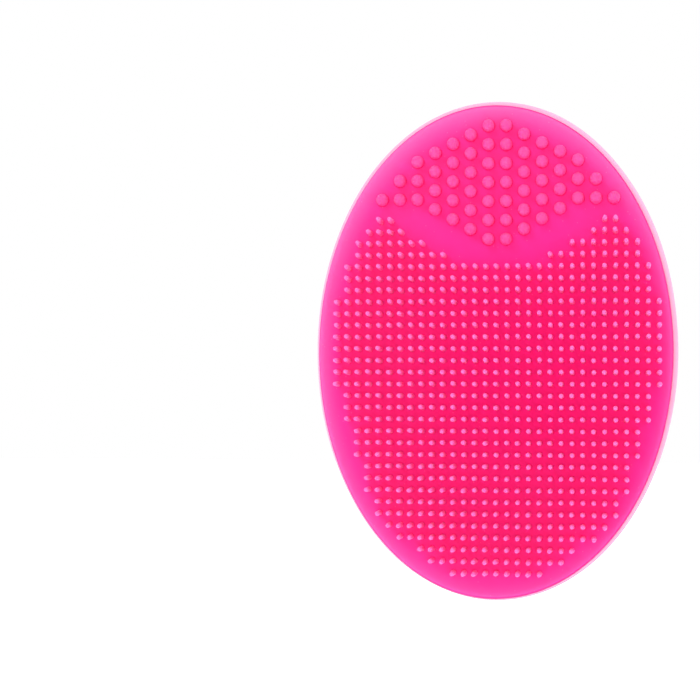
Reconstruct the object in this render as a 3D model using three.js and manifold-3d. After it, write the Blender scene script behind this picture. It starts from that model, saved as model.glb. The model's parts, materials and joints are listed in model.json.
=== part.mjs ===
// A hand-held silicone facial cleansing brush on a suction-cup handle, in millimetres.
// The origin is the centre of the suction cup's mouth, in the plane of the wall that it sticks to.
// +Y points into the wall, the brush face looks along -Y, and +Z points to the end with the nubs.
// Depths are distances from the wall, so a depth of d lies at y = -d.
import * as THREE from 'three';
import { mergeVertices } from 'three/addons/utils/BufferGeometryUtils.js';
import Module from 'manifold-3d';

const wasm = await Module();
wasm.setup();

// ---- Driving dimensions ----

const PAD_WIDTH = 55.3;             // oval pad, side to side, without the parting lip
const PAD_HEIGHT = 77.2;            // oval pad, end to end, without the parting lip
const BACK_THICKNESS = 2;           // moulded half that carries the handle
const FRONT_THICKNESS = 1.6;        // moulded half that carries the bristles
const BACK_EDGE_ROUND = 1.4;
const FRONT_EDGE_ROUND = 0.9;

const PARTING_LIP_REACH = 0.45;     // how far the thin lip stands out of the pad's edge
const PARTING_LIP_THICKNESS = 0.35;
const PARTING_LIP_SEAT = 1.2;       // how far the lip reaches in between the two halves

const BOSS_WIDTH = 28;              // raised oval that the handle grows from
const BOSS_HEIGHT = 34;
const BOSS_RISE = 1.8;
const BOSS_SLOPE = 3.5;             // width of the boss's sloping flank

const CUP_RADIUS = 13.1;
const CUP_LIP_WIDTH = 1.9;          // from the cup's outside to its mouth
const CUP_HOLLOW_DEPTH = 3;
const CUP_RIM_THICKNESS = 3.4;
const CUP_RIM_ROUND = 1.5;
const CUP_RIM_WIDTH = 3.6;          // from the cup's outside to its flexing wall
const CUP_HUB_SHARE = 0.395;        // how far out between neck and rim the solid hub reaches
const FLARE_LENGTH = 6.9;           // from the rim's front to the straight neck
const NECK_RADIUS = 4.05;
const NECK_LENGTH = 5.7;            // straight part, from the flare to the boss
const NECK_FLEX_LENGTH = 2.1;       // each of the neck's two bending stretches

const BRISTLE_LENGTH = 4;
const BRISTLE_ROOT_WIDTH = 0.86;
const BRISTLE_TIP_WIDTH = 0.56;
const BRISTLE_THICKNESS = 0.7;      // along the brush
const BRISTLE_SIDE_MARGIN = 2.75;   // from the outermost bristle to the pad's side
const LAST_ROW_MARGIN = 4.1;        // from the last row to the pad's lower end

// The bristle field's stepped outline, from the top row down: how many bristles stand on each
// side of the middle one, and for how many rows.
const FIELD_STEPS = [
  [11, 1], [12, 1], [13, 2], [14, 3], [15, 8], [14, 3], [13, 3],
  [12, 3], [11, 2], [10, 1], [9, 1], [7, 1], [6, 1], [4, 1],
];

const NUB_RADIUS = 0.92;
const NUB_LENGTH = 2;
const NUB_DOME_HEIGHT = 0.8;        // rounded top of a nub
const NUB_SPINE_MARGIN = 0.05;      // how far a column's spine stands out beyond its nubs
const NUB_COLUMNS_EACH_SIDE = 7;
const NUB_END_MARGIN = 3.45;        // from the top nub's centre to the pad's upper end
const NUB_SIDE_MARGIN = 3.8;        // from the outermost nub's centre to the pad's edge
const NUB_PATCH_HEIGHT = 17.8;      // from the top nub to the lowest one, at the V's point
const NUB_V_HEIGHT = 6.3;           // how far the V's arms rise from its point
const NUB_V_COLUMNS = 4;            // columns over which they rise

const FIRST_ROW_RISE = 2.9;         // first bristle row above the V's point
const BARE_BAND_DROP = 4.35;        // bristles start this far below the V's point
const BARE_BAND_INSET = 8.05;       // from the bare band's round edge to the pad's side

const ROOT_DEPTH = 0.45;            // comb spine under the face, which joins a row of bristles
const GROOVE_CLEARANCE = 0.2;       // round each spine, so that a row can lean
const GAP = 0.15;                   // between pieces that touch
const CUT_OVERSHOOT = 1;            // how far a groove's cutter stands out of the face

const ROUND_STEPS = 4;              // facets in a quarter-round edge
const OVAL_STEPS = 60;
const CUP_STEPS = 36;
const NUB_STEPS = 8;
const DOME_STEPS = 2;

// ---- Derived places ----

const halfWidth = PAD_WIDTH / 2;
const halfHeight = PAD_HEIGHT / 2;
const mouthRadius = CUP_RADIUS - CUP_LIP_WIDTH;
const wallOuterRadius = CUP_RADIUS - CUP_RIM_WIDTH;
const hubRadius = NECK_RADIUS + (wallOuterRadius - NECK_RADIUS) * CUP_HUB_SHARE;
const flareEnd = CUP_RIM_THICKNESS + FLARE_LENGTH;
const bossDepth = flareEnd + NECK_LENGTH;
const backDepth = bossDepth + BOSS_RISE;
const partingDepth = backDepth + BACK_THICKNESS;
const faceDepth = partingDepth + FRONT_THICKNESS;
const tipDepth = faceDepth + BRISTLE_LENGTH;

const nubTop = halfHeight - NUB_END_MARGIN;
const vPoint = nubTop - NUB_PATCH_HEIGHT;
const vArms = vPoint + NUB_V_HEIGHT;
const nubPitch = NUB_PATCH_HEIGHT / (NUB_COLUMNS_EACH_SIDE - 1);
const nubColumnPitch = (padHalfWidthAt(vArms) - NUB_SIDE_MARGIN) / (NUB_COLUMNS_EACH_SIDE - 0.5);

const firstRow = vPoint + FIRST_ROW_RISE;
const lastRow = LAST_ROW_MARGIN - halfHeight;
const outermost = FIELD_STEPS.flatMap(([bristles, rowCount]) => Array(rowCount).fill(bristles));
const rowPitch = (firstRow - lastRow) / (outermost.length - 1);
const columnPitch = (halfWidth - BRISTLE_SIDE_MARGIN) / Math.max(...outermost);
const bareBandRadius = halfWidth - BARE_BAND_INSET;
const bareBandCentre = vPoint - BARE_BAND_DROP + bareBandRadius;

function padHalfWidthAt(z) {
  return halfWidth * Math.sqrt(1 - (z / halfHeight) ** 2);
}

// ---- Solids ----

function solidOf(geometry) {
  const bare = geometry.clone();
  bare.deleteAttribute('normal');
  bare.deleteAttribute('uv');
  const merged = mergeVertices(bare, 1e-4);
  return new wasm.Manifold(new wasm.Mesh({
    numProp: 3,
    vertProperties: merged.attributes.position.array,
    triVerts: new Uint32Array(merged.index.array),
  }));
}

function geometryOf(solid) {
  const mesh = solid.getMesh();
  return new THREE.BufferGeometry()
    .setAttribute('position', new THREE.BufferAttribute(mesh.vertProperties, 3))
    .setIndex(new THREE.BufferAttribute(mesh.triVerts, 1));
}

function box(low, high) {
  const size = high.map((value, i) => value - low[i]);
  const centre = high.map((value, i) => (value + low[i]) / 2);
  return new THREE.BoxGeometry(...size).translate(...centre);
}

// Points of a quarter circle about (radius, depth), from one angle to the next, in degrees.
function arc(radius, depth, round, from, to) {
  const points = [];
  for (let i = 0; i <= ROUND_STEPS; i++) {
    const angle = THREE.MathUtils.degToRad(from + (to - from) * i / ROUND_STEPS);
    points.push([radius + round * Math.cos(angle), depth + round * Math.sin(angle)]);
  }
  return points;
}

// Turns a profile of [radius, depth] points about the Y axis. It runs towards the wall on the outside.
function turned(profile, steps) {
  return new THREE.LatheGeometry(profile.map(([r, d]) => new THREE.Vector2(r, -d)), steps);
}

// The same, but oval: radii are along Z, and X is narrowed to the oval's width.
function oval(profile, width, height) {
  return turned(profile, OVAL_STEPS).scale(width / height, 1, 1);
}

// ---- Silicone ----

const silicone = (color, roughness = 0.42) => new THREE.MeshStandardMaterial({
  color, roughness, metalness: 0,
});
const FACE = silicone(0xff2e7e);
const EDGE = silicone(0xff6db4, 0.35);
const HANDLE = silicone(0xe8145f, 0.38);
const TIP = silicone(0xff74c0);
const NUB = silicone(0xff4fa4);

const brush = new THREE.Group();

function add(name, geometry, material) {
  const mesh = new THREE.Mesh(geometry, material);
  mesh.name = name;
  brush.add(mesh);
  return mesh;
}

// ---- Suction cup: a thick rim, a wall that flexes, and a solid hub ----

// The hollow is a shallow bowl, open to the wall.
function hollowDepth(radius) {
  return CUP_HOLLOW_DEPTH * (1 - (radius / mouthRadius) ** 2);
}

// The flare sweeps from the rim's front down to the neck in a quarter of an ellipse.
function flareRadius(depth) {
  const along = (flareEnd - depth) / FLARE_LENGTH;
  const spread = wallOuterRadius - NECK_RADIUS;
  return NECK_RADIUS + spread * (1 - Math.sqrt(Math.max(0, 1 - along ** 2)));
}

function flareDepth(radius) {
  const out = 1 - (radius - NECK_RADIUS) / (wallOuterRadius - NECK_RADIUS);
  return flareEnd - FLARE_LENGTH * Math.sqrt(Math.max(0, 1 - out ** 2));
}

function cupRim() {
  const edge = CUP_RADIUS - CUP_RIM_ROUND;
  return turned([
    [wallOuterRadius, CUP_RIM_THICKNESS],
    ...arc(edge, CUP_RIM_THICKNESS - CUP_RIM_ROUND, CUP_RIM_ROUND, 90, 0),
    ...arc(CUP_RADIUS - CUP_RIM_ROUND / 2, CUP_RIM_ROUND / 2, CUP_RIM_ROUND / 2, 0, -90),
    [mouthRadius, 0],
    [wallOuterRadius, hollowDepth(wallOuterRadius)],
    [wallOuterRadius, CUP_RIM_THICKNESS],
  ], CUP_STEPS);
}

function cupWall() {
  const outer = wallOuterRadius - GAP;
  const inner = hubRadius + GAP;
  const middle = (outer + inner) / 2;
  return turned([
    [inner, flareDepth(inner)],
    [middle, flareDepth(middle)],
    [outer, Math.min(flareDepth(outer), CUP_RIM_THICKNESS)],
    [outer, hollowDepth(outer)],
    [middle, hollowDepth(middle)],
    [inner, hollowDepth(inner)],
    [inner, flareDepth(inner)],
  ], CUP_STEPS);
}

function cupHub() {
  const profile = [[0, flareEnd], [NECK_RADIUS, flareEnd]];
  const start = flareDepth(hubRadius);
  for (let i = ROUND_STEPS - 1; i >= 0; i--) {
    const depth = start + (flareEnd - start) * i / ROUND_STEPS;
    profile.push([flareRadius(depth), depth]);
  }
  profile.push([hubRadius, hollowDepth(hubRadius)]);
  profile.push([hubRadius / 2, hollowDepth(hubRadius / 2)]);
  profile.push([0, CUP_HOLLOW_DEPTH]);
  return turned(profile, CUP_STEPS);
}

add('suction_cup_rim', cupRim(), HANDLE);
add('suction_cup_wall', cupWall(), HANDLE);
add('suction_cup_hub', cupHub(), HANDLE);

// ---- Neck: two bending stretches on either side of a short middle ----

function neckPiece(from, to) {
  return turned([[0, to], [NECK_RADIUS, to], [NECK_RADIUS, from], [0, from]], CUP_STEPS);
}

const lowerFlexEnd = flareEnd + NECK_FLEX_LENGTH;
const upperFlexStart = bossDepth - NECK_FLEX_LENGTH;
add('neck_lower_flex', neckPiece(flareEnd + GAP, lowerFlexEnd), HANDLE);
add('neck_middle', neckPiece(lowerFlexEnd + GAP, upperFlexStart - GAP), HANDLE);
add('neck_upper_flex', neckPiece(upperFlexStart, bossDepth - GAP), HANDLE);

// ---- Pad: a back half with its boss, a thin parting lip and a front half ----

const lipHalf = PARTING_LIP_THICKNESS / 2;
const seatRadius = halfHeight - PARTING_LIP_SEAT;

function backBoss() {
  const foot = backDepth - GAP;
  const flank = BOSS_HEIGHT / 2 - BOSS_SLOPE;
  const middle = (bossDepth + foot) / 2;
  return oval([
    [0, foot],
    [BOSS_HEIGHT / 2, foot],
    [flank + BOSS_SLOPE / 2, middle],
    [flank, bossDepth],
    [0, bossDepth],
  ], BOSS_WIDTH, BOSS_HEIGHT);
}

function padBack() {
  const edge = halfHeight - BACK_EDGE_ROUND;
  return oval([
    [0, partingDepth - GAP / 2],
    [seatRadius - GAP, partingDepth - GAP / 2],
    [seatRadius - GAP, partingDepth - lipHalf - GAP],
    ...arc(edge, backDepth + BACK_EDGE_ROUND, BACK_EDGE_ROUND, 0, -90),
    [0, backDepth],
  ], PAD_WIDTH, PAD_HEIGHT);
}

function partingLip() {
  const outer = halfHeight + PARTING_LIP_REACH;
  return oval([
    [seatRadius, partingDepth + lipHalf],
    [outer, partingDepth + lipHalf],
    [outer, partingDepth - lipHalf],
    [seatRadius, partingDepth - lipHalf],
    [seatRadius, partingDepth + lipHalf],
  ], PAD_WIDTH + 2 * PARTING_LIP_REACH, PAD_HEIGHT + 2 * PARTING_LIP_REACH);
}

function padFrontBlank() {
  const edge = halfHeight - FRONT_EDGE_ROUND;
  return oval([
    [0, faceDepth],
    ...arc(edge, faceDepth - FRONT_EDGE_ROUND, FRONT_EDGE_ROUND, 90, 0),
    [halfHeight, partingDepth + lipHalf + GAP],
    [seatRadius - GAP, partingDepth + lipHalf + GAP],
    [seatRadius - GAP, partingDepth + GAP / 2],
    [0, partingDepth + GAP / 2],
  ], PAD_WIDTH, PAD_HEIGHT);
}

// ---- Nubs: columns of round-topped pegs, each column on a spine sunk in the face ----

// Centres of the nubs in a column, counted outwards from the middle of the brush.
function nubColumn(column) {
  const arm = Math.min(column, NUB_V_COLUMNS) / NUB_V_COLUMNS;
  const lowest = vPoint + NUB_V_HEIGHT * arm;
  const count = NUB_COLUMNS_EACH_SIDE - column;
  const x = nubColumnPitch * (column + 0.5);
  return Array.from({ length: count }, (_, i) => ({ x, z: lowest + nubPitch * i }));
}

function nub({ x, z }) {
  const shoulder = faceDepth + NUB_LENGTH - NUB_DOME_HEIGHT;
  const foot = faceDepth - ROOT_DEPTH / 2;
  const dome = [];
  for (let i = 0; i <= DOME_STEPS; i++) {
    const angle = Math.PI / 2 * i / DOME_STEPS;
    dome.push([NUB_RADIUS * Math.sin(angle), shoulder + NUB_DOME_HEIGHT * Math.cos(angle)]);
  }
  return turned([...dome, [NUB_RADIUS, foot], [0, foot]], NUB_STEPS).translate(x, 0, z);
}

function nubSpine(nubs, clearance) {
  const reach = NUB_RADIUS + NUB_SPINE_MARGIN + clearance;
  const x = nubs[0].x;
  const low = nubs[0].z - reach;
  const high = nubs[nubs.length - 1].z + reach;
  const top = clearance > 0 ? faceDepth + CUT_OVERSHOOT : faceDepth;
  return box([x - reach, -top, low], [x + reach, -(faceDepth - ROOT_DEPTH - clearance), high]);
}

// ---- Bristles: each row is a comb, with its spine sunk in the face ----

// The first column of a row that stands clear of the bare band round the nubs.
function firstColumn(z, last) {
  const reach = bareBandRadius ** 2 - (bareBandCentre - z) ** 2;
  return Math.min(last, Math.ceil(Math.sqrt(Math.max(0, reach)) / columnPitch));
}

// A row's comb between two columns, which may be negative.
function comb(first, last, z) {
  const outline = new THREE.Shape();
  const left = first * columnPitch - BRISTLE_ROOT_WIDTH / 2;
  const right = last * columnPitch + BRISTLE_ROOT_WIDTH / 2;
  outline.moveTo(left, -(faceDepth - ROOT_DEPTH));
  for (let column = first; column <= last; column++) {
    const x = column * columnPitch;
    outline.lineTo(x - BRISTLE_ROOT_WIDTH / 2, -faceDepth);
    outline.lineTo(x - BRISTLE_TIP_WIDTH / 2, -tipDepth);
    outline.lineTo(x + BRISTLE_TIP_WIDTH / 2, -tipDepth);
    outline.lineTo(x + BRISTLE_ROOT_WIDTH / 2, -faceDepth);
  }
  outline.lineTo(right, -(faceDepth - ROOT_DEPTH));
  return new THREE.ExtrudeGeometry(outline, { depth: BRISTLE_THICKNESS, bevelEnabled: false })
    .translate(0, 0, z - BRISTLE_THICKNESS / 2);
}

function combGroove(first, last, z) {
  const reach = BRISTLE_ROOT_WIDTH / 2 + GROOVE_CLEARANCE;
  const high = BRISTLE_THICKNESS / 2 + GROOVE_CLEARANCE;
  return box(
    [first * columnPitch - reach, -(faceDepth + CUT_OVERSHOOT), z - high],
    [last * columnPitch + reach, -(faceDepth - ROOT_DEPTH - GROOVE_CLEARANCE), z + high],
  );
}

const rows = outermost.flatMap((last, i) => {
  const z = firstRow - rowPitch * i;
  const name = `bristle_row_${String(i + 1).padStart(2, '0')}`;
  const first = firstColumn(z, last);
  if (first === 0) {
    return [{ name, first: -last, last, z }];
  }
  return [
    { name: `${name}_left`, first: -last, last: -first, z },
    { name: `${name}_right`, first, last, z },
  ];
});

const nubColumns = [];
for (let column = 0; column < NUB_COLUMNS_EACH_SIDE; column++) {
  const nubs = nubColumn(column);
  const mirrored = nubs.map(({ x, z }) => ({ x: -x, z }));
  nubColumns.push({ name: `nub_column_left_${column + 1}`, nubs: mirrored });
  nubColumns.push({ name: `nub_column_right_${column + 1}`, nubs });
}

function padFront() {
  const grooves = [
    ...rows.map(({ first, last, z }) => combGroove(first, last, z)),
    ...nubColumns.map(({ nubs }) => nubSpine(nubs, GAP)),
  ];
  return grooves.reduce(
    (plate, groove) => plate.subtract(solidOf(groove)),
    solidOf(padFrontBlank()),
  );
}

add('back_boss', backBoss(), EDGE);
add('pad_back', padBack(), EDGE);
add('parting_lip', partingLip(), EDGE);
add('pad_front', geometryOf(padFront()), FACE);

for (const { name, nubs } of nubColumns) {
  const column = nubs.reduce(
    (joined, centre) => joined.add(solidOf(nub(centre))),
    solidOf(nubSpine(nubs, 0)),
  );
  add(name, geometryOf(column), NUB);
}

for (const { name, first, last, z } of rows) {
  add(name, comb(first, last, z), TIP);
}

export default brush;
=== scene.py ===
# %% [markdown]
# # A silicone face brush
# The real brush is a single moulding of hot-pink silicone: an oval pad with fine bristles and
# round-topped nubs on its face, and a short neck behind it that ends in a suction cup.
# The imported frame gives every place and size. This script gives the soft, moulded look: rounded
# edges, bristles that grow out of the pad, and silicone that is lighter where it is thin.

# %% Load the frame
import json
import math
import random

import bmesh
import bpy
from mathutils import Matrix, Quaternion, Vector, noise
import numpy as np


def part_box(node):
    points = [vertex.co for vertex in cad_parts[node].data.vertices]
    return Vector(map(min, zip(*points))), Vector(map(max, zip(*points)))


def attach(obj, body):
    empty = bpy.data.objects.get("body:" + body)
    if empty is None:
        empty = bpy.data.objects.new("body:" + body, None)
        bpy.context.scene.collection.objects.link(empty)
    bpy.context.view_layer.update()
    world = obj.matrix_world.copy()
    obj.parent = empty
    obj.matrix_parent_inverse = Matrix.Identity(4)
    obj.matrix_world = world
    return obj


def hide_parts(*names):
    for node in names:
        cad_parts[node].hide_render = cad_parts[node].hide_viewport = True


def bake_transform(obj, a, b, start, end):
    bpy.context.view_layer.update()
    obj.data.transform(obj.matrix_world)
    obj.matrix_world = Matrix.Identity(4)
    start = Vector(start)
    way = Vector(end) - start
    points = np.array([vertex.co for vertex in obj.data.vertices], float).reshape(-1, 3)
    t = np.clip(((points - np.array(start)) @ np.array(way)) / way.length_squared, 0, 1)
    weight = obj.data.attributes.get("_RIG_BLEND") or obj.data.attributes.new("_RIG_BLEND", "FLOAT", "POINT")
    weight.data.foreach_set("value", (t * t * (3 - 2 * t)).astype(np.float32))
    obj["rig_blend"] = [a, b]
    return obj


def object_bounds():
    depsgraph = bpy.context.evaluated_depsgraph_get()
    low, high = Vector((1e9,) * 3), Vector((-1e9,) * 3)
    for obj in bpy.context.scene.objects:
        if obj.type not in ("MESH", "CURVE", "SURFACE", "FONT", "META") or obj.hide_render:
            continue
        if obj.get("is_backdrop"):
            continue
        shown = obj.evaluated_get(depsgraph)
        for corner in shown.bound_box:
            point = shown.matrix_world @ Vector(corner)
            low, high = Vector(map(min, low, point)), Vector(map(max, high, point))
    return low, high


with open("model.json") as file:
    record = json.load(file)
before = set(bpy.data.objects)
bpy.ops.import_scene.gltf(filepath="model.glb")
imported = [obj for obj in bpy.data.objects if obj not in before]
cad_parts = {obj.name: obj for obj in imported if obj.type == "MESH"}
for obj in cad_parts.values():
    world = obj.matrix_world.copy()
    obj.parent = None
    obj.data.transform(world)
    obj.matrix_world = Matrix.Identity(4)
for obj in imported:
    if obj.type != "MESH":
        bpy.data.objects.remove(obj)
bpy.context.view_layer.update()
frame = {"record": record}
MM = 0.001

# %% [markdown]
# ## Where things are
# The wall that the cup sticks to is the plane y = 0, and the brush stands out from it along -Y.
# So a depth is a distance from the wall, and a depth of d lies at y = -d. Each value is read from
# a solid of the frame, so the pieces can't drift away from it.

# %% Depths, half sizes and radii
def nearest(node):
    """A solid's least depth, on its side towards the wall."""
    return -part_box(node)[1].y


def furthest(node):
    """A solid's greatest depth, on its side towards the skin."""
    return -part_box(node)[0].y


pad_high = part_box("pad_front")[1]
half_width, half_height = pad_high.x, pad_high.z
face = furthest("pad_front")
back = nearest("pad_back")
boss_top = nearest("back_boss")
parting = (nearest("parting_lip") + furthest("parting_lip")) / 2
lip_half = (furthest("parting_lip") - nearest("parting_lip")) / 2
bristle_tip = furthest("bristle_row_12")
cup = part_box("suction_cup_rim")[1].x
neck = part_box("neck_middle")[1].x
print(f"face {face / MM:.2f} mm and bristle tips {bristle_tip / MM:.2f} mm from the wall")

# %% [markdown]
# ## Camera and light
# The brush is seen almost square on, a little from the right and from below, with a long lens.
# It hangs on its cup in front of white paper. A softbox high on the left gives the nubs and
# bristle tips their highlights, one low on the right fills in, one overhead shapes the handle,
# and two light it from behind. The bright surroundings do the rest.

# %% Camera
CAMERA_DISTANCE = 290 * MM          # from the brush's face
CAMERA_RIGHT = 18 * MM
CAMERA_BELOW = 14 * MM
CAMERA_ROLL = math.radians(0.36)    # the brush hangs a hair's breadth out of true
AIM_LEFT = 22.61 * MM               # the aim is left of the brush, which so stands right of centre
AIM_UP = 0.07 * MM
LENS = 95.8                         # millimetres, on a 36 mm sensor


def look_from(obj, place, target, roll=0):
    """Puts a camera or lamp in its place and turns it to the target."""
    turn = (target - place).to_track_quat("-Z", "Y")
    obj.location = place
    obj.rotation_euler = (turn @ Quaternion((0, 0, 1), roll)).to_euler()
    bpy.context.scene.collection.objects.link(obj)


camera_data = bpy.data.cameras.new("camera")
camera_data.lens = LENS
camera_data.clip_start = 0.01
camera = bpy.data.objects.new("camera", camera_data)
look_from(
    camera,
    Vector((CAMERA_RIGHT, -face - CAMERA_DISTANCE, -CAMERA_BELOW)),
    Vector((-AIM_LEFT, -face, AIM_UP)),
    CAMERA_ROLL,
)
bpy.context.scene.camera = camera
bpy.context.scene.view_settings.view_transform = "Standard"

# %% Lamps
def softbox(name, place, size, power):
    """A square area lamp that faces the brush, with its size in metres and power in watts."""
    lamp = bpy.data.lights.new(name, "AREA")
    lamp.shape = "SQUARE"
    lamp.size = size
    lamp.energy = power
    look_from(bpy.data.objects.new(name, lamp), Vector(place), Vector((0, -face, 0)))


softbox("key", (-0.45, -0.60, 0.55), 0.60, 4.0)
softbox("fill", (0.55, -0.60, -0.15), 0.60, 1.6)
softbox("top", (0.25, -0.05, 0.75), 0.50, 1.6)
softbox("back_left", (-0.55, 0.50, 0.40), 0.50, 2.8)
softbox("back_right", (0.50, 0.55, 0.15), 0.50, 2.0)

# %% White surroundings
SURROUND_LIGHT = 0.76               # how strongly the paper's white lights the brush

world = bpy.data.worlds.new("white_paper")
bpy.context.scene.world = world
world.use_nodes = True
nodes, links = world.node_tree.nodes, world.node_tree.links
paper = nodes["Background"]
paper.inputs["Color"].default_value = (1, 1, 1, 1)
seen = nodes.new("ShaderNodeLightPath")
strength = nodes.new("ShaderNodeMapRange")
strength.inputs["To Min"].default_value = SURROUND_LIGHT
strength.inputs["To Max"].default_value = 1.0
links.new(seen.outputs["Is Camera Ray"], strength.inputs["Value"])
links.new(strength.outputs["Result"], paper.inputs["Strength"])

# %% [markdown]
# ## Silicone
# Clear silicone is tinted in the mass, so its colour depends on how much of it the light has
# passed through. Thick parts are a deep red-pink, and thin edges and bristle tips turn light and
# slightly violet. One node group holds that idea: it takes how thin a place is, from 0 to 1, and
# mixes the two tints. A value below 0 darkens the deep tint: this is painted shade, for a fold that
# light hardly reaches. The group also adds what every moulded silicone part has, a faint
# cloudiness, the sand-blasted texture of the mould and a few specks of dust that its tacky skin
# picks up.

# %% Node helpers
def add_node(tree, kind, settings=None, **values):
    """A new node, with its input sockets set by name."""
    node = tree.nodes.new(kind)
    for key, value in (settings or {}).items():
        setattr(node, key, value)
    for key, value in values.items():
        node.inputs[key.replace("_", " ")].default_value = value
    return node


def colour(red, green, blue):
    """A screen colour, 0 to 255, as the linear colour that a shader wants."""
    def linear(value):
        value /= 255
        return value / 12.92 if value <= 0.04045 else ((value + 0.055) / 1.055) ** 2.4
    return linear(red), linear(green), linear(blue), 1


# %% The silicone group
FOLD_SHADE = 0.62                   # how much light is left where thinness is -1


def make_silicone_group():
    """The node group that turns thinness into colour, roughness and bump height."""
    group = bpy.data.node_groups.new("tinted_silicone", "ShaderNodeTree")
    sockets = group.interface
    for name, kind, start in [
        ("Thinness", "NodeSocketFloat", 0.0),
        ("Deep Tint", "NodeSocketColor", (0.9, 0.01, 0.13, 1)),
        ("Thin Tint", "NodeSocketColor", (1, 0.2, 0.5, 1)),
        ("Dust", "NodeSocketFloat", 0.3),
    ]:
        sockets.new_socket(name, in_out="INPUT", socket_type=kind).default_value = start
    sockets.new_socket("Color", in_out="OUTPUT", socket_type="NodeSocketColor")
    sockets.new_socket("Roughness", in_out="OUTPUT", socket_type="NodeSocketFloat")
    sockets.new_socket("Height", in_out="OUTPUT", socket_type="NodeSocketFloat")
    inward = group.nodes.new("NodeGroupInput")
    outward = group.nodes.new("NodeGroupOutput")
    link = group.links.new
    place = add_node(group, "ShaderNodeTexCoord")

    clouds = add_node(group, "ShaderNodeTexNoise", Scale=90, Detail=3, Roughness=0.5)
    cloudy = add_node(group, "ShaderNodeMapRange", To_Min=-0.05, To_Max=0.05)
    thinness = add_node(group, "ShaderNodeMath", {"operation": "ADD", "use_clamp": True})
    tint = add_node(group, "ShaderNodeMix", {"data_type": "RGBA"})
    # painted shade: a thinness below 0 scales the colour down, to FOLD_SHADE at -1
    fold = add_node(group, "ShaderNodeMapRange", From_Min=-1, From_Max=0,
                    To_Min=FOLD_SHADE)
    shaded = add_node(group, "ShaderNodeVectorMath", {"operation": "SCALE"})
    link(place.outputs["Object"], clouds.inputs["Vector"])
    link(clouds.outputs["Fac"], cloudy.inputs["Value"])
    link(inward.outputs["Thinness"], thinness.inputs[0])
    link(inward.outputs["Thinness"], fold.inputs["Value"])
    link(cloudy.outputs["Result"], thinness.inputs[1])
    link(thinness.outputs["Value"], tint.inputs["Factor"])
    link(inward.outputs["Deep Tint"], tint.inputs["A"])
    link(inward.outputs["Thin Tint"], tint.inputs["B"])
    link(tint.outputs["Result"], shaded.inputs[0])
    link(fold.outputs["Result"], shaded.inputs["Scale"])

    specks = add_node(group, "ShaderNodeTexVoronoi", {"feature": "F1"}, Scale=900)
    rare = add_node(group, "ShaderNodeMapRange", From_Min=0.10, From_Max=0.05)
    dust = add_node(group, "ShaderNodeMath", {"operation": "MULTIPLY"})
    dusty = add_node(group, "ShaderNodeMix", {"data_type": "RGBA"}, B=colour(255, 205, 226))
    link(place.outputs["Object"], specks.inputs["Vector"])
    link(specks.outputs["Distance"], rare.inputs["Value"])
    link(rare.outputs["Result"], dust.inputs[0])
    link(inward.outputs["Dust"], dust.inputs[1])
    link(dust.outputs["Value"], dusty.inputs["Factor"])
    link(shaded.outputs["Vector"], dusty.inputs["A"])
    link(dusty.outputs["Result"], outward.inputs["Color"])

    mould = add_node(group, "ShaderNodeTexNoise", Scale=3500, Detail=4, Roughness=0.6)
    satin = add_node(group, "ShaderNodeMapRange", To_Min=0.42, To_Max=0.58)
    link(place.outputs["Object"], mould.inputs["Vector"])
    link(mould.outputs["Fac"], satin.inputs["Value"])
    link(satin.outputs["Result"], outward.inputs["Roughness"])
    link(mould.outputs["Fac"], outward.inputs["Height"])
    return group


silicone_group = make_silicone_group()
print("silicone group with", len(silicone_group.nodes), "nodes")

# %% [markdown]
# Each material places the group with its own measure of thinness. On the pad that is how near
# the rim a place is, on nubs and bristles how far it stands out from the pad, and on the handle
# how far it is from the axis.
# Light also travels inside silicone for a millimetre or so, which the subsurface values give.

# %% One silicone material for each kind of place
PAD_PINK = colour(251, 19, 136)
ROOT_PINK = colour(252, 97, 178)
RIM_PINK = colour(251, 86, 160)
TIP_PINK = colour(252, 105, 172)
NUB_FOOT_PINK = colour(251, 38, 132)
NUB_PINK = colour(252, 72, 146)
NECK_PINK = colour(209, 12, 93)


def silicone(name, deep, thin, measure, dust=0.1, scatter=0.35, reach=1.0, shine=0.2,
             texture=0.12):
    """A silicone material. measure says how thin it is: a number, or measure(tree, place).

    scatter is how much of the light travels inside it, and reach is how far, in millimetres.
    texture is how much of the mould's sand-blasted surface shows.
    """
    material = bpy.data.materials.new(name)
    material.use_nodes = True
    tree = material.node_tree
    shader = tree.nodes["Principled BSDF"]
    group = add_node(tree, "ShaderNodeGroup", {"node_tree": silicone_group})
    group.inputs["Deep Tint"].default_value = deep
    group.inputs["Thin Tint"].default_value = thin
    group.inputs["Dust"].default_value = dust
    place = add_node(tree, "ShaderNodeTexCoord")
    bump = add_node(tree, "ShaderNodeBump", Strength=texture, Distance=0.05 * MM)
    if callable(measure):
        tree.links.new(measure(tree, place.outputs["Object"]), group.inputs["Thinness"])
    else:
        group.inputs["Thinness"].default_value = measure
    tree.links.new(group.outputs["Color"], shader.inputs["Base Color"])
    tree.links.new(group.outputs["Roughness"], shader.inputs["Roughness"])
    tree.links.new(group.outputs["Height"], bump.inputs["Height"])
    tree.links.new(bump.outputs["Normal"], shader.inputs["Normal"])
    shader.inputs["IOR"].default_value = 1.41
    shader.inputs["Specular IOR Level"].default_value = shine
    shader.inputs["Subsurface Weight"].default_value = scatter
    shader.inputs["Subsurface Radius"].default_value = (1.0, 0.35, 0.6)
    shader.inputs["Subsurface Scale"].default_value = reach * MM
    return material


def along_depth(start, end):
    """Thin at the depth called end, thick at the one called start."""
    def measure(tree, place):
        split = add_node(tree, "ShaderNodeSeparateXYZ")
        ramp = add_node(tree, "ShaderNodeMapRange", {"interpolation_type": "SMOOTHSTEP"},
                        From_Min=-start, From_Max=-end)
        tree.links.new(place, split.inputs["Vector"])
        tree.links.new(split.outputs["Y"], ramp.inputs["Value"])
        return ramp.outputs["Result"]
    return measure


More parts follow.
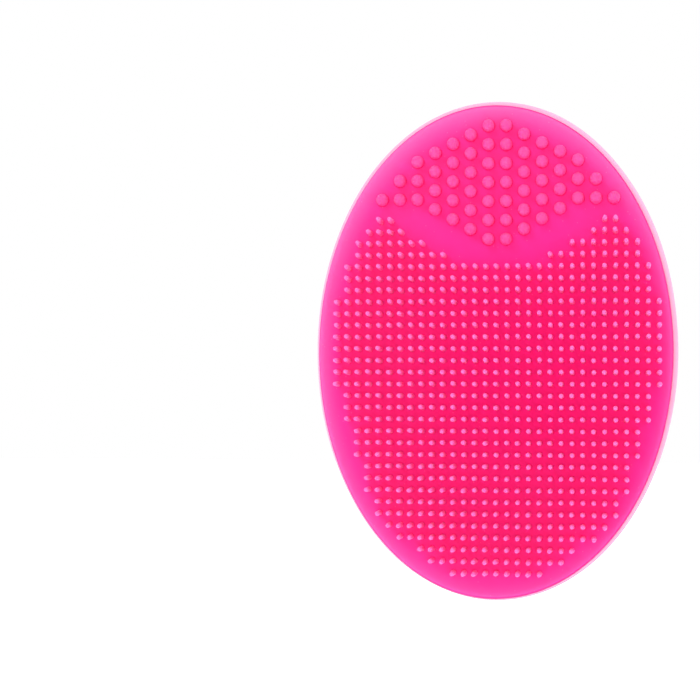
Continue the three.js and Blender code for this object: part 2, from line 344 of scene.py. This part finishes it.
def length_of(tree, place, centre, shrink):
    """How far a place is from the centre, after each direction is divided by its own size."""
    move = add_node(tree, "ShaderNodeMapping", Scale=[1 / size if size else 0 for size in shrink],
                    Location=[-at / size if size else 0 for at, size in zip(centre, shrink)])
    length = add_node(tree, "ShaderNodeVectorMath", {"operation": "LENGTH"})
    tree.links.new(place, move.inputs["Vector"])
    tree.links.new(move.outputs["Vector"], length.inputs[0])
    return length.outputs["Value"]


def ramp_of(tree, value, start, end, low=0.0, high=1.0):
    """A value that goes from low to high as the given one goes from start to end."""
    ramp = add_node(tree, "ShaderNodeMapRange", From_Min=start, From_Max=end,
                    To_Min=low, To_Max=high)
    tree.links.new(value, ramp.inputs["Value"])
    return ramp.outputs["Result"]


def across_radius(start, end):
    """Thick within the radius called start, thin from the one called end."""
    def measure(tree, place):
        return ramp_of(tree, length_of(tree, place, (0, 0, 0), (1, 0, 1)), start, end)
    return measure


def combined(tree, operation, one, other):
    """The result of a maths operation on two inputs, each a number or a node's output."""
    math_node = add_node(tree, "ShaderNodeMath", {"operation": operation})
    for socket, value in zip(math_node.inputs, (one, other)):
        if isinstance(value, (int, float)):
            socket.default_value = value
        else:
            tree.links.new(value, socket)
    return math_node.outputs["Value"]


THICKEST = (7 * MM, 0, -4 * MM)     # the middle of the deepest tint
DEEP_WITHIN = 8 * MM                # of that place
THINNING_ENDS = 34 * MM             # from that place
SLOW_THINNING = 0.2
# The rim is pale where the silicone is thin, and its band is shifted so that it is wider at the upper left:
# painted light from the key lamp there.
RIM_KEY_LIGHT_SHIFT = (0.35 * MM, 0, -0.9 * MM)  # the light rim is wider on one side than on the other
RIM_STARTS, RIM_ENDS = 0.90, 1.02   # as shares of the way from the middle to the outline
RIM_CURVE = 1.6
# A thin band at the pad's edge, in front of the parting lip, gets painted shade: its thinness is pushed
# below 0 there.
FOLD_STARTS, FOLD_ENDS = 0.990, 0.998
FOLD_SHADE_STRENGTH = 1.8


def pad_thinness(tree, place):
    """Slowly thinner away from the thickest place and quickly near the rim.

    It falls below 0 in the fold where the pad's side meets the parting lip, which paints shade there.
    """
    away = length_of(tree, place, THICKEST, (1, 0, 1))
    slow = ramp_of(tree, away, DEEP_WITHIN, THINNING_ENDS, 0, SLOW_THINNING)
    # painted light: the rim's band is measured from a shifted middle, so it is wider at the upper left,
    # towards the key lamp
    share = length_of(tree, place, RIM_KEY_LIGHT_SHIFT, (half_width, 0, half_height))
    near_rim = combined(tree, "POWER", ramp_of(tree, share, RIM_STARTS, RIM_ENDS), RIM_CURVE)
    outline = length_of(tree, place, (0, 0, 0), (half_width, 0, half_height))
    split = add_node(tree, "ShaderNodeSeparateXYZ")
    tree.links.new(place, split.inputs["Vector"])
    # painted shade in the fold at the pad's edge, just in front of the parting lip
    in_front = ramp_of(tree, split.outputs["Y"], -parting, -parting - lip_half)
    at_edge = ramp_of(tree, outline, FOLD_STARTS, FOLD_ENDS, 0, FOLD_SHADE_STRENGTH)
    fold = combined(tree, "MULTIPLY", at_edge, in_front)
    return combined(tree, "SUBTRACT", combined(tree, "ADD", slow, near_rim), fold)


pad_silicone = silicone("pad_silicone", PAD_PINK, RIM_PINK, pad_thinness)
bristle_silicone = silicone("bristle_silicone", ROOT_PINK, TIP_PINK,
                            along_depth(face - 0.6 * MM, face + 1.4 * MM), dust=0.02,
                            scatter=0.6, reach=1.2, shine=0.06, texture=0.02)
nub_silicone = silicone("nub_silicone", NUB_FOOT_PINK, NUB_PINK,
                        along_depth(face, face + 1.2 * MM), scatter=0.8, reach=1.2,
                        texture=0.04)
handle_silicone = silicone("handle_silicone", NECK_PINK, RIM_PINK,
                           across_radius(neck * 1.2, cup * 1.1), shine=0.35)
print("materials", [m.name for m in bpy.data.materials if m.users])

# %% [markdown]
# The parting lip is the thin flash where the two halves of the mould met. It is under half a
# millimetre thick, so it looks pale and lets the background through. Along its outer edge one
# looks through a long way of it, and it is nearly as pink as the pad's rim there.

# %% Parting lip material
lip_silicone = silicone("lip_silicone", colour(244, 158, 206), colour(250, 205, 230),
                        0.5, dust=0.1, scatter=0)
lip_silicone.node_tree.nodes["Principled BSDF"].inputs["Alpha"].default_value = 0.75
lip_edge_silicone = silicone("lip_edge_silicone", RIM_PINK, colour(252, 120, 180), 0.4, scatter=0)

# %% [markdown]
# ## How pieces are made
# Everything here was turned or pressed in a mould, so most pieces start as a profile spun about
# the cup's axis, or as an oval plate whose rims are then rounded with a bevel. Each piece stands
# for one or more plain solids of the frame, hides them and moves with their body.

# %% Making helpers
SHARPEST_CURVE = math.radians(65)   # a steeper corner than this is shaded as a corner


def turned(profile, steps):
    """Spins (radius, depth) points about the Y axis into a closed shape."""
    shape = bmesh.new()
    points = [shape.verts.new((0, -depth, radius)) for radius, depth in profile]
    for one, two in zip(points, points[1:]):
        shape.edges.new((one, two))
    bmesh.ops.spin(shape, geom=shape.verts[:] + shape.edges[:], cent=(0, 0, 0),
                   axis=(0, 1, 0), angle=math.tau, steps=steps, use_merge=True)
    bmesh.ops.remove_doubles(shape, verts=shape.verts[:], dist=0.001 * MM)
    bmesh.ops.recalc_face_normals(shape, faces=shape.faces[:])
    return shape


def make_piece(name, shape, material, nodes_replaced):
    """Turns a bmesh into a smooth object that stands for some of the frame's solids."""
    mesh = bpy.data.meshes.new(name)
    shape.to_mesh(mesh)
    shape.free()
    mesh.shade_smooth()
    mesh.set_sharp_from_angle(angle=SHARPEST_CURVE)
    piece = bpy.data.objects.new(name, mesh)
    bpy.context.scene.collection.objects.link(piece)
    mesh.materials.append(material)
    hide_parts(*nodes_replaced)
    return piece


# %% [markdown]
# ## The pad
# The pad is two moulded halves that meet at the parting lip. A plate is an oval outline pulled
# through its thickness. A bevel then rounds its rim evenly all the way round, which scaling a
# turned shape would not do. A thin inset inside each bevel keeps the big flat faces flat in
# the smooth shading.

# %% Oval plates
OVAL_POINTS = 160
EDGE_HOLD = 0.25 * MM               # inset that keeps a flat face flat


def oval_plate(wide, high, start, end):
    """An oval plate between two depths, with half sizes wide and high. Returns it and its end face."""
    shape = bmesh.new()
    bmesh.ops.create_circle(shape, cap_ends=True, segments=OVAL_POINTS, radius=1,
                            matrix=Matrix.Rotation(math.pi / 2, 4, "X"))
    bmesh.ops.scale(shape, vec=(wide, 1, high), verts=shape.verts[:])
    bmesh.ops.translate(shape, vec=(0, -start, 0), verts=shape.verts[:])
    made = bmesh.ops.extrude_face_region(shape, geom=shape.faces[:], use_keep_orig=True)
    moved = [v for v in made["geom"] if isinstance(v, bmesh.types.BMVert)]
    bmesh.ops.translate(shape, vec=(0, start - end, 0), verts=moved)
    bmesh.ops.recalc_face_normals(shape, faces=shape.faces[:])
    top = next(f for f in shape.faces if len(f.verts) > 4 and all(v in moved for v in f.verts))
    return shape, top


def round_rim(shape, top, radius, segments):
    """Rounds the rim of a plate's face, and returns the face that is left."""
    depth = top.verts[0].co.y
    bmesh.ops.bevel(shape, geom=list(top.edges), offset=radius, offset_type="OFFSET",
                    segments=segments, profile=0.5, affect="EDGES", material=-1)
    top = max((f for f in shape.faces if abs(f.calc_center_median().y - depth) < 1e-7),
              key=lambda f: f.calc_area())
    bmesh.ops.inset_region(shape, faces=[top], thickness=EDGE_HOLD, use_even_offset=True)
    return max((f for f in shape.faces if abs(f.calc_center_median().y - depth) < 1e-7),
               key=lambda f: f.calc_area())


# %% Front half
FRONT_ROUND = 0.9 * MM

shape, top = oval_plate(half_width, half_height, parting + lip_half, face)
round_rim(shape, top, FRONT_ROUND, 5)
pad_front = make_piece("pad_front_half", shape, pad_silicone, ["pad_front"])
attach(pad_front, "pad")
print("front half", len(pad_front.data.polygons), "faces")

# %% [markdown]
# The back half carries a low oval boss that stiffens the pad round the neck. It rises quickly at
# its foot and then ever more gently, so ring after ring is pulled out of the back face along a
# flattened curve, and only the foot is rounded as well.

# %% Back half and its boss
BACK_ROUND = 1.4 * MM
FOOT_ROUND = 0.45 * MM
CROWN = 0.36                        # share of the boss that is flat, round the neck
BOSS_RINGS = 8
BOSS_FULLNESS = 0.6                 # 0.5 would be an ellipse, and more is flatter


def pull(shape, top, wide, high, depth):
    """Extrudes a face to a new oval outline and depth, and returns the new face."""
    made = bmesh.ops.extrude_face_region(shape, geom=[top])
    moved = [v for v in made["geom"] if isinstance(v, bmesh.types.BMVert)]
    new_top = next(f for f in made["geom"] if isinstance(f, bmesh.types.BMFace))
    bmesh.ops.delete(shape, geom=[top], context="FACES_ONLY")
    span_x = max(v.co.x for v in moved)
    span_z = max(v.co.z for v in moved)
    bmesh.ops.scale(shape, vec=(wide / span_x, 1, high / span_z), verts=moved)
    bmesh.ops.translate(shape, vec=(0, -depth - moved[0].co.y, 0), verts=moved)
    return new_top


boss_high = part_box("back_boss")[1]
shape, top = oval_plate(half_width, half_height, parting - lip_half, back)
top = round_rim(shape, top, BACK_ROUND, 6)
foot = pull(shape, top, boss_high.x, boss_high.z, back)
foot_edges = list(foot.edges)
crown = foot
for ring in range(1, BOSS_RINGS + 1):
    size = 1 - (1 - CROWN) * ring / BOSS_RINGS
    rise = ((1 - size ** 2) / (1 - CROWN ** 2)) ** BOSS_FULLNESS
    crown = pull(shape, crown, boss_high.x * size, boss_high.z * size,
                 back + (boss_top - back) * rise)
bmesh.ops.bevel(shape, geom=foot_edges, offset=FOOT_ROUND, offset_type="OFFSET",
                segments=4, profile=0.5, affect="EDGES", material=-1)
bmesh.ops.recalc_face_normals(shape, faces=shape.faces[:])
pad_back = make_piece("pad_back_half", shape, pad_silicone, ["pad_back", "back_boss"])
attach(pad_back, "pad")
print("back half", len(pad_back.data.polygons), "faces")

# %% [markdown]
# The parting lip is a ring whose outer edge is never quite even: flash is a little wider at one
# end of the mould, and its edge wanders. A turned ring is made oval, and its outer points are
# then moved by smooth noise.

# %% Parting lip
LIP_SEAT = 1.0 * MM
LIP_SHIFT = Vector((0.17, 0, 0.22)) * MM
LIP_SPREAD = 0.10 * MM              # how much wider it is along the sides
LIP_WANDER = 0.07 * MM
WAVES_PER_METRE = 90
FLAT_SIDE = 0.6                     # a face whose normal has this much of Y is on a flat side

lip_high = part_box("parting_lip")[1]
shape = turned([
    (lip_high.z - LIP_SEAT, parting + lip_half * 0.9),
    (lip_high.z - lip_half, parting + lip_half * 0.9),
    (lip_high.z, parting + lip_half * 0.5),
    (lip_high.z, parting - lip_half * 0.5),
    (lip_high.z - lip_half, parting - lip_half * 0.9),
    (lip_high.z - LIP_SEAT, parting - lip_half * 0.9),
    (lip_high.z - LIP_SEAT, parting + lip_half * 0.9),
], 240)
outer = [v for v in shape.verts if math.hypot(v.co.x, v.co.z) > lip_high.z - LIP_SEAT / 2]
bmesh.ops.scale(shape, vec=((lip_high.x + LIP_SPREAD) / lip_high.z, 1, 1), verts=shape.verts[:])
for point in outer:
    outward = Vector((point.co.x, 0, point.co.z)).normalized()
    point.co += LIP_SHIFT + outward * LIP_WANDER * noise.noise(point.co * WAVES_PER_METRE)
lip = make_piece("parting_lip_flash", shape, lip_silicone, ["parting_lip"])
lip.data.materials.append(lip_edge_silicone)
for polygon in lip.data.polygons:
    polygon.material_index = 0 if abs(polygon.normal.y) > FLAT_SIDE else 1
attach(lip, "pad")

# %% [markdown]
# ## Nubs
# A nub is a peg with a domed top that widens softly where it leaves the pad. One is turned from
# a short profile and copied along its column. The frame's column gives the first and last place.

# %% Nub columns
NUB_RADIUS = 0.92 * MM
NUB_SPINE_MARGIN = 0.05 * MM
NUB_COLUMNS = 7                     # on each side of the middle
NUBS_IN_INNER_COLUMN = 7
NUB_SINK = 0.3 * MM                 # how far a nub's foot reaches into the pad
NUB_FLARE = [                       # share of the radius, and height above the face
    (1.16, -NUB_SINK),
    (1.16, -0.02 * MM),
    (1.05, 0.1 * MM),
    (1.01, 0.3 * MM),
]
NUB_DOME = 0.45                     # share of the height
NUB_DOME_STEPS = 6
FIELD_SHIFT = 0.5 * MM              # nubs and bristles stand a little to the right on the pad

first_low, first_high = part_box("nub_column_left_1")
nub_height = furthest("nub_column_left_1") - face
nub_reach = NUB_RADIUS + NUB_SPINE_MARGIN
nub_pitch = (first_high.z - first_low.z - 2 * nub_reach) / (NUBS_IN_INNER_COLUMN - 1)


def nub_profile():
    """From the sunk foot, up the flared root, to a dome that is a quarter of an ellipse."""
    dome = nub_height * NUB_DOME
    points = [(0, face - NUB_SINK)]
    points += [(NUB_RADIUS * share, face + height) for share, height in NUB_FLARE]
    for step in range(NUB_DOME_STEPS):
        angle = math.pi / 2 * step / NUB_DOME_STEPS
        points.append((NUB_RADIUS * math.cos(angle),
                       face + nub_height - dome + dome * math.sin(angle)))
    return points + [(0, face + nub_height)]


def copies(shape, places, turn=None):
    """A new shape with a copy of the given one at each place. Each copy may have its own turn."""
    pattern = bpy.data.meshes.new("pattern")
    shape.to_mesh(pattern)
    shape.free()
    joined = bmesh.new()
    for index, place in enumerate(places):
        before = len(joined.verts)
        joined.from_mesh(pattern)
        joined.verts.ensure_lookup_table()
        move = Matrix.Translation(place) @ (turn(index) if turn else Matrix())
        bmesh.ops.transform(joined, matrix=move, verts=joined.verts[before:])
    bpy.data.meshes.remove(pattern)
    return joined


nub_total = 0
for side in ("left", "right"):
    for column in range(1, NUB_COLUMNS + 1):
        node = f"nub_column_{side}_{column}"
        low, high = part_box(node)
        count = round((high.z - low.z - 2 * nub_reach) / nub_pitch) + 1
        x = (low.x + high.x) / 2 + FIELD_SHIFT
        places = [Vector((x, 0, low.z + nub_reach + nub_pitch * i)) for i in range(count)]
        nubs = copies(turned(nub_profile(), 16), places)
        piece = make_piece(f"nubs_{side}_{column}", nubs, nub_silicone, [node])
        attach(piece, "pad")
        nub_total += count
print(nub_total, "nubs at a pitch of", round(nub_pitch / MM, 2), "mm")

# %% [markdown]
# ## Bristles
# A bristle is a slender cone with a rounded tip. There are over seven hundred, so each has only
# a few dozen faces. No two leave the mould exactly alike, and each copy gets a slight lean of
# its own. A row is one piece that bends: its roots stay in the pad and its tips follow the
# row's hinge, so a stroke curves the lower part of each bristle instead of snapping it at the
# root.

# %% One bristle
ROOT_WIDTH = 0.86 * MM
TIP_WIDTH = 0.66 * MM
BRISTLE_SINK = 0.25 * MM            # how far a root reaches into the pad
LOW_RADIUS = 0.41 * MM              # of a bristle at LOW_HEIGHT
LOW_HEIGHT = 0.5 * MM
MIDDLE_SHARE = 0.55                 # share of the length
MIDDLE_EXTRA = 0.06 * MM            # how much the radius there is over the tip's
TIP_DOME = 0.3 * MM
SHOULDER = 0.08 * MM                # how far the dome's shoulder lies below the top
SHOULDER_SHARE = 0.72               # of the tip's radius
BRISTLES_IN_WIDEST = 31
LEAN = math.radians(1.2)            # the most that a bristle leans by itself

widest_low, widest_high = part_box("bristle_row_12")
bristle_pitch = (widest_high.x - widest_low.x - ROOT_WIDTH) / (BRISTLES_IN_WIDEST - 1)
length = bristle_tip - face


def bristle_profile():
    """(radius, height above the face), from the sunk root to the dome of the tip."""
    root = ROOT_WIDTH / 2
    tip = TIP_WIDTH / 2
    return [
        (0, -BRISTLE_SINK),
        (root, -BRISTLE_SINK),
        (root, 0),
        (LOW_RADIUS, LOW_HEIGHT),
        (tip + MIDDLE_EXTRA, length * MIDDLE_SHARE),
        (tip, length - TIP_DOME),
        (tip * SHOULDER_SHARE, length - SHOULDER),
        (0, length),
    ]


# %% Rows of bristles
def slight_lean(chance):
    """A small random tilt, the same each time the script runs."""
    def turn(index):
        return (Matrix.Rotation(chance.uniform(-LEAN, LEAN), 4, "X")
                @ Matrix.Rotation(chance.uniform(-LEAN, LEAN), 4, "Z"))
    return turn


bristle_total = 0
for body, members in frame["record"]["behaviour"]["bodies"].items():
    if not body.startswith("row_"):
        continue
    for node in members:
        low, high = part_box(node)
        count = round((high.x - low.x - ROOT_WIDTH) / bristle_pitch) + 1
        first = low.x + ROOT_WIDTH / 2 + FIELD_SHIFT
        z = (low.z + high.z) / 2
        places = [Vector((first + bristle_pitch * i, -face, z)) for i in range(count)]
        chance = random.Random(node)
        row = copies(turned(bristle_profile(), 8), places, slight_lean(chance))
        name = node.replace("bristle_row", "bristles")
        piece = make_piece(name, row, bristle_silicone, [node])
        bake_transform(piece, "pad", body, (0, -face, z), (0, -face - 0.6 * length, z))
        bristle_total += count
print(bristle_total, "bristles, each", round(length / MM, 2), "mm long")

# %% [markdown]
# ## Neck and suction cup
# The handle is one turned shape in the mould. It bends in two stretches of the neck, so it is
# cut into three pieces whose ends meet where the frame is stiff.

# %% Handle profile
cup_front = furthest("suction_cup_rim")
flare_end = furthest("suction_cup_hub")
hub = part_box("suction_cup_hub")[1].x
wall_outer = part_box("suction_cup_wall")[1].x
HOLLOW_DEPTH = 3.0 * MM
RIM_WIDTH = 1.9 * MM                # from the hollow's mouth to the outside
MOUTH = cup - RIM_WIDTH
RIM_BEAD = 1.5 * MM
CREASE = 0.2 * MM                   # how far the flare lies below the bead where they meet
RIDGE = 0.13 * MM                   # the line of flash round the bead
LAND_STEP = 0.2 * MM                # the hollow starts with a small step
HANDLE_STEPS = 96
FLARE_STEPS = 14
HOLLOW_STEPS = 10


def flare_curve(radius):
    """The flare's depth: a quarter of an ellipse from the neck out to the rim's bead."""
    share = 1 - (radius - neck) / (wall_outer - neck)
    return flare_end - (flare_end - cup_front + CREASE) * math.sqrt(max(0, 1 - share ** 2))


def hollow_curve(radius):
    """The shallow bowl that makes the suction."""
    return HOLLOW_DEPTH * (1 - (radius / MOUTH) ** 2)


def arc(radius, depth, size, start, end, steps):
    """Points of an arc about (radius, depth), from one angle to another in degrees."""
    angles = [math.radians(start + (end - start) * i / steps) for i in range(steps + 1)]
    return [(radius + size * math.cos(a), depth + size * math.sin(a)) for a in angles]


cup_profile = [(0, flare_end), (neck, flare_end)]
for step in range(1, FLARE_STEPS):
    radius = neck + (wall_outer - neck) * (1 - math.cos(math.pi / 2 * step / FLARE_STEPS))
    cup_profile.append((radius, flare_curve(radius)))
cup_profile += arc(cup - RIM_BEAD, cup_front - RIM_BEAD, RIM_BEAD, 125, 0, 9)
middle = cup_front / 2
cup_profile += [(cup, middle + RIDGE), (cup + RIDGE, middle + RIDGE / 3),
                (cup + RIDGE, middle - RIDGE / 3), (cup, middle - RIDGE)]
cup_profile += arc(cup - RIM_BEAD / 2, RIM_BEAD / 2, RIM_BEAD / 2, -10, -90, 5)
cup_profile += [(MOUTH + LAND_STEP, 0), (MOUTH, LAND_STEP / 2)]
for step in range(HOLLOW_STEPS + 1):
    radius = (MOUTH - LAND_STEP) * (1 - step / HOLLOW_STEPS)
    cup_profile.append((radius, hollow_curve(radius)))

# %% Suction cup
shape = turned(cup_profile, HANDLE_STEPS)
suction_cup = make_piece("suction_cup", shape, handle_silicone,
                         ["suction_cup_rim", "suction_cup_wall", "suction_cup_hub"])
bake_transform(suction_cup, "cup_rim", "cup_hub", (0, -cup_front, 0), (0, -flare_end, 0))
weights = suction_cup.data.attributes["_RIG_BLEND"].data
for point, weight in zip(suction_cup.data.vertices, weights):
    radius = math.hypot(point.co.x, point.co.z)
    share = min(1, max(0, (wall_outer - radius) / (wall_outer - hub)))
    weight.value = share * share * (3 - 2 * share)
print("suction cup", len(suction_cup.data.polygons), "faces")

# %% Neck in two bending stretches
NECK_SINK = 0.4 * MM
NECK_FILLET = 0.35 * MM
NECK_STEPS = 12                     # in each bending stretch
stiff = (nearest("neck_middle") + furthest("neck_middle")) / 2


def stretch(start, end):
    """Points along the straight neck between two depths, close enough together to bend."""
    return [(neck, start + (end - start) * i / NECK_STEPS) for i in range(NECK_STEPS + 1)]


lower = turned([(0, flare_end)] + stretch(flare_end, stiff) + [(0, stiff)], HANDLE_STEPS)
neck_lower = make_piece("neck_lower", lower, handle_silicone,
                        ["neck_lower_flex", "neck_middle"])
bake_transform(neck_lower, "cup_hub", "neck", (0, -flare_end, 0), (0, -stiff, 0))

upper_profile = [(0, stiff)] + stretch(stiff, boss_top - NECK_FILLET)
upper_profile += [(neck + NECK_FILLET - r, boss_top - d) for r, d in
                  arc(0, NECK_FILLET, NECK_FILLET, 0, -90, 4)]
upper_profile += [(neck + NECK_FILLET, boss_top + NECK_SINK), (0, boss_top + NECK_SINK)]
upper = turned(upper_profile, HANDLE_STEPS)
neck_upper = make_piece("neck_upper", upper, handle_silicone, ["neck_upper_flex"])
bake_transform(neck_upper, "neck", "pad", (0, -stiff, 0), (0, -boss_top, 0))

# %% [markdown]
# ## Floor
# A plain white floor lies well below the brush, so no shadow of it falls in the picture.

# %% Floor
FLOOR_DROP = 160 * MM

shape = bmesh.new()
bmesh.ops.create_grid(shape, x_segments=1, y_segments=1, size=12,
                      matrix=Matrix.Translation((0, 0, -FLOOR_DROP)))
mesh = bpy.data.meshes.new("floor")
shape.to_mesh(mesh)
shape.free()
floor = bpy.data.objects.new("floor", mesh)
bpy.context.scene.collection.objects.link(floor)
white = bpy.data.materials.new("floor_white")
white.use_nodes = True
floor_shader = white.node_tree.nodes["Principled BSDF"]
floor_shader.inputs["Base Color"].default_value = (0.9, 0.9, 0.9, 1)
floor_shader.inputs["Roughness"].default_value = 0.9
floor_shader.inputs["Emission Color"].default_value = (1, 1, 1, 1)
floor_shader.inputs["Emission Strength"].default_value = 0.6
mesh.materials.append(white)
floor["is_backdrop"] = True

# %% Sizes, and the end
low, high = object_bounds()
print("visual", [round(v, 4) for v in high - low])
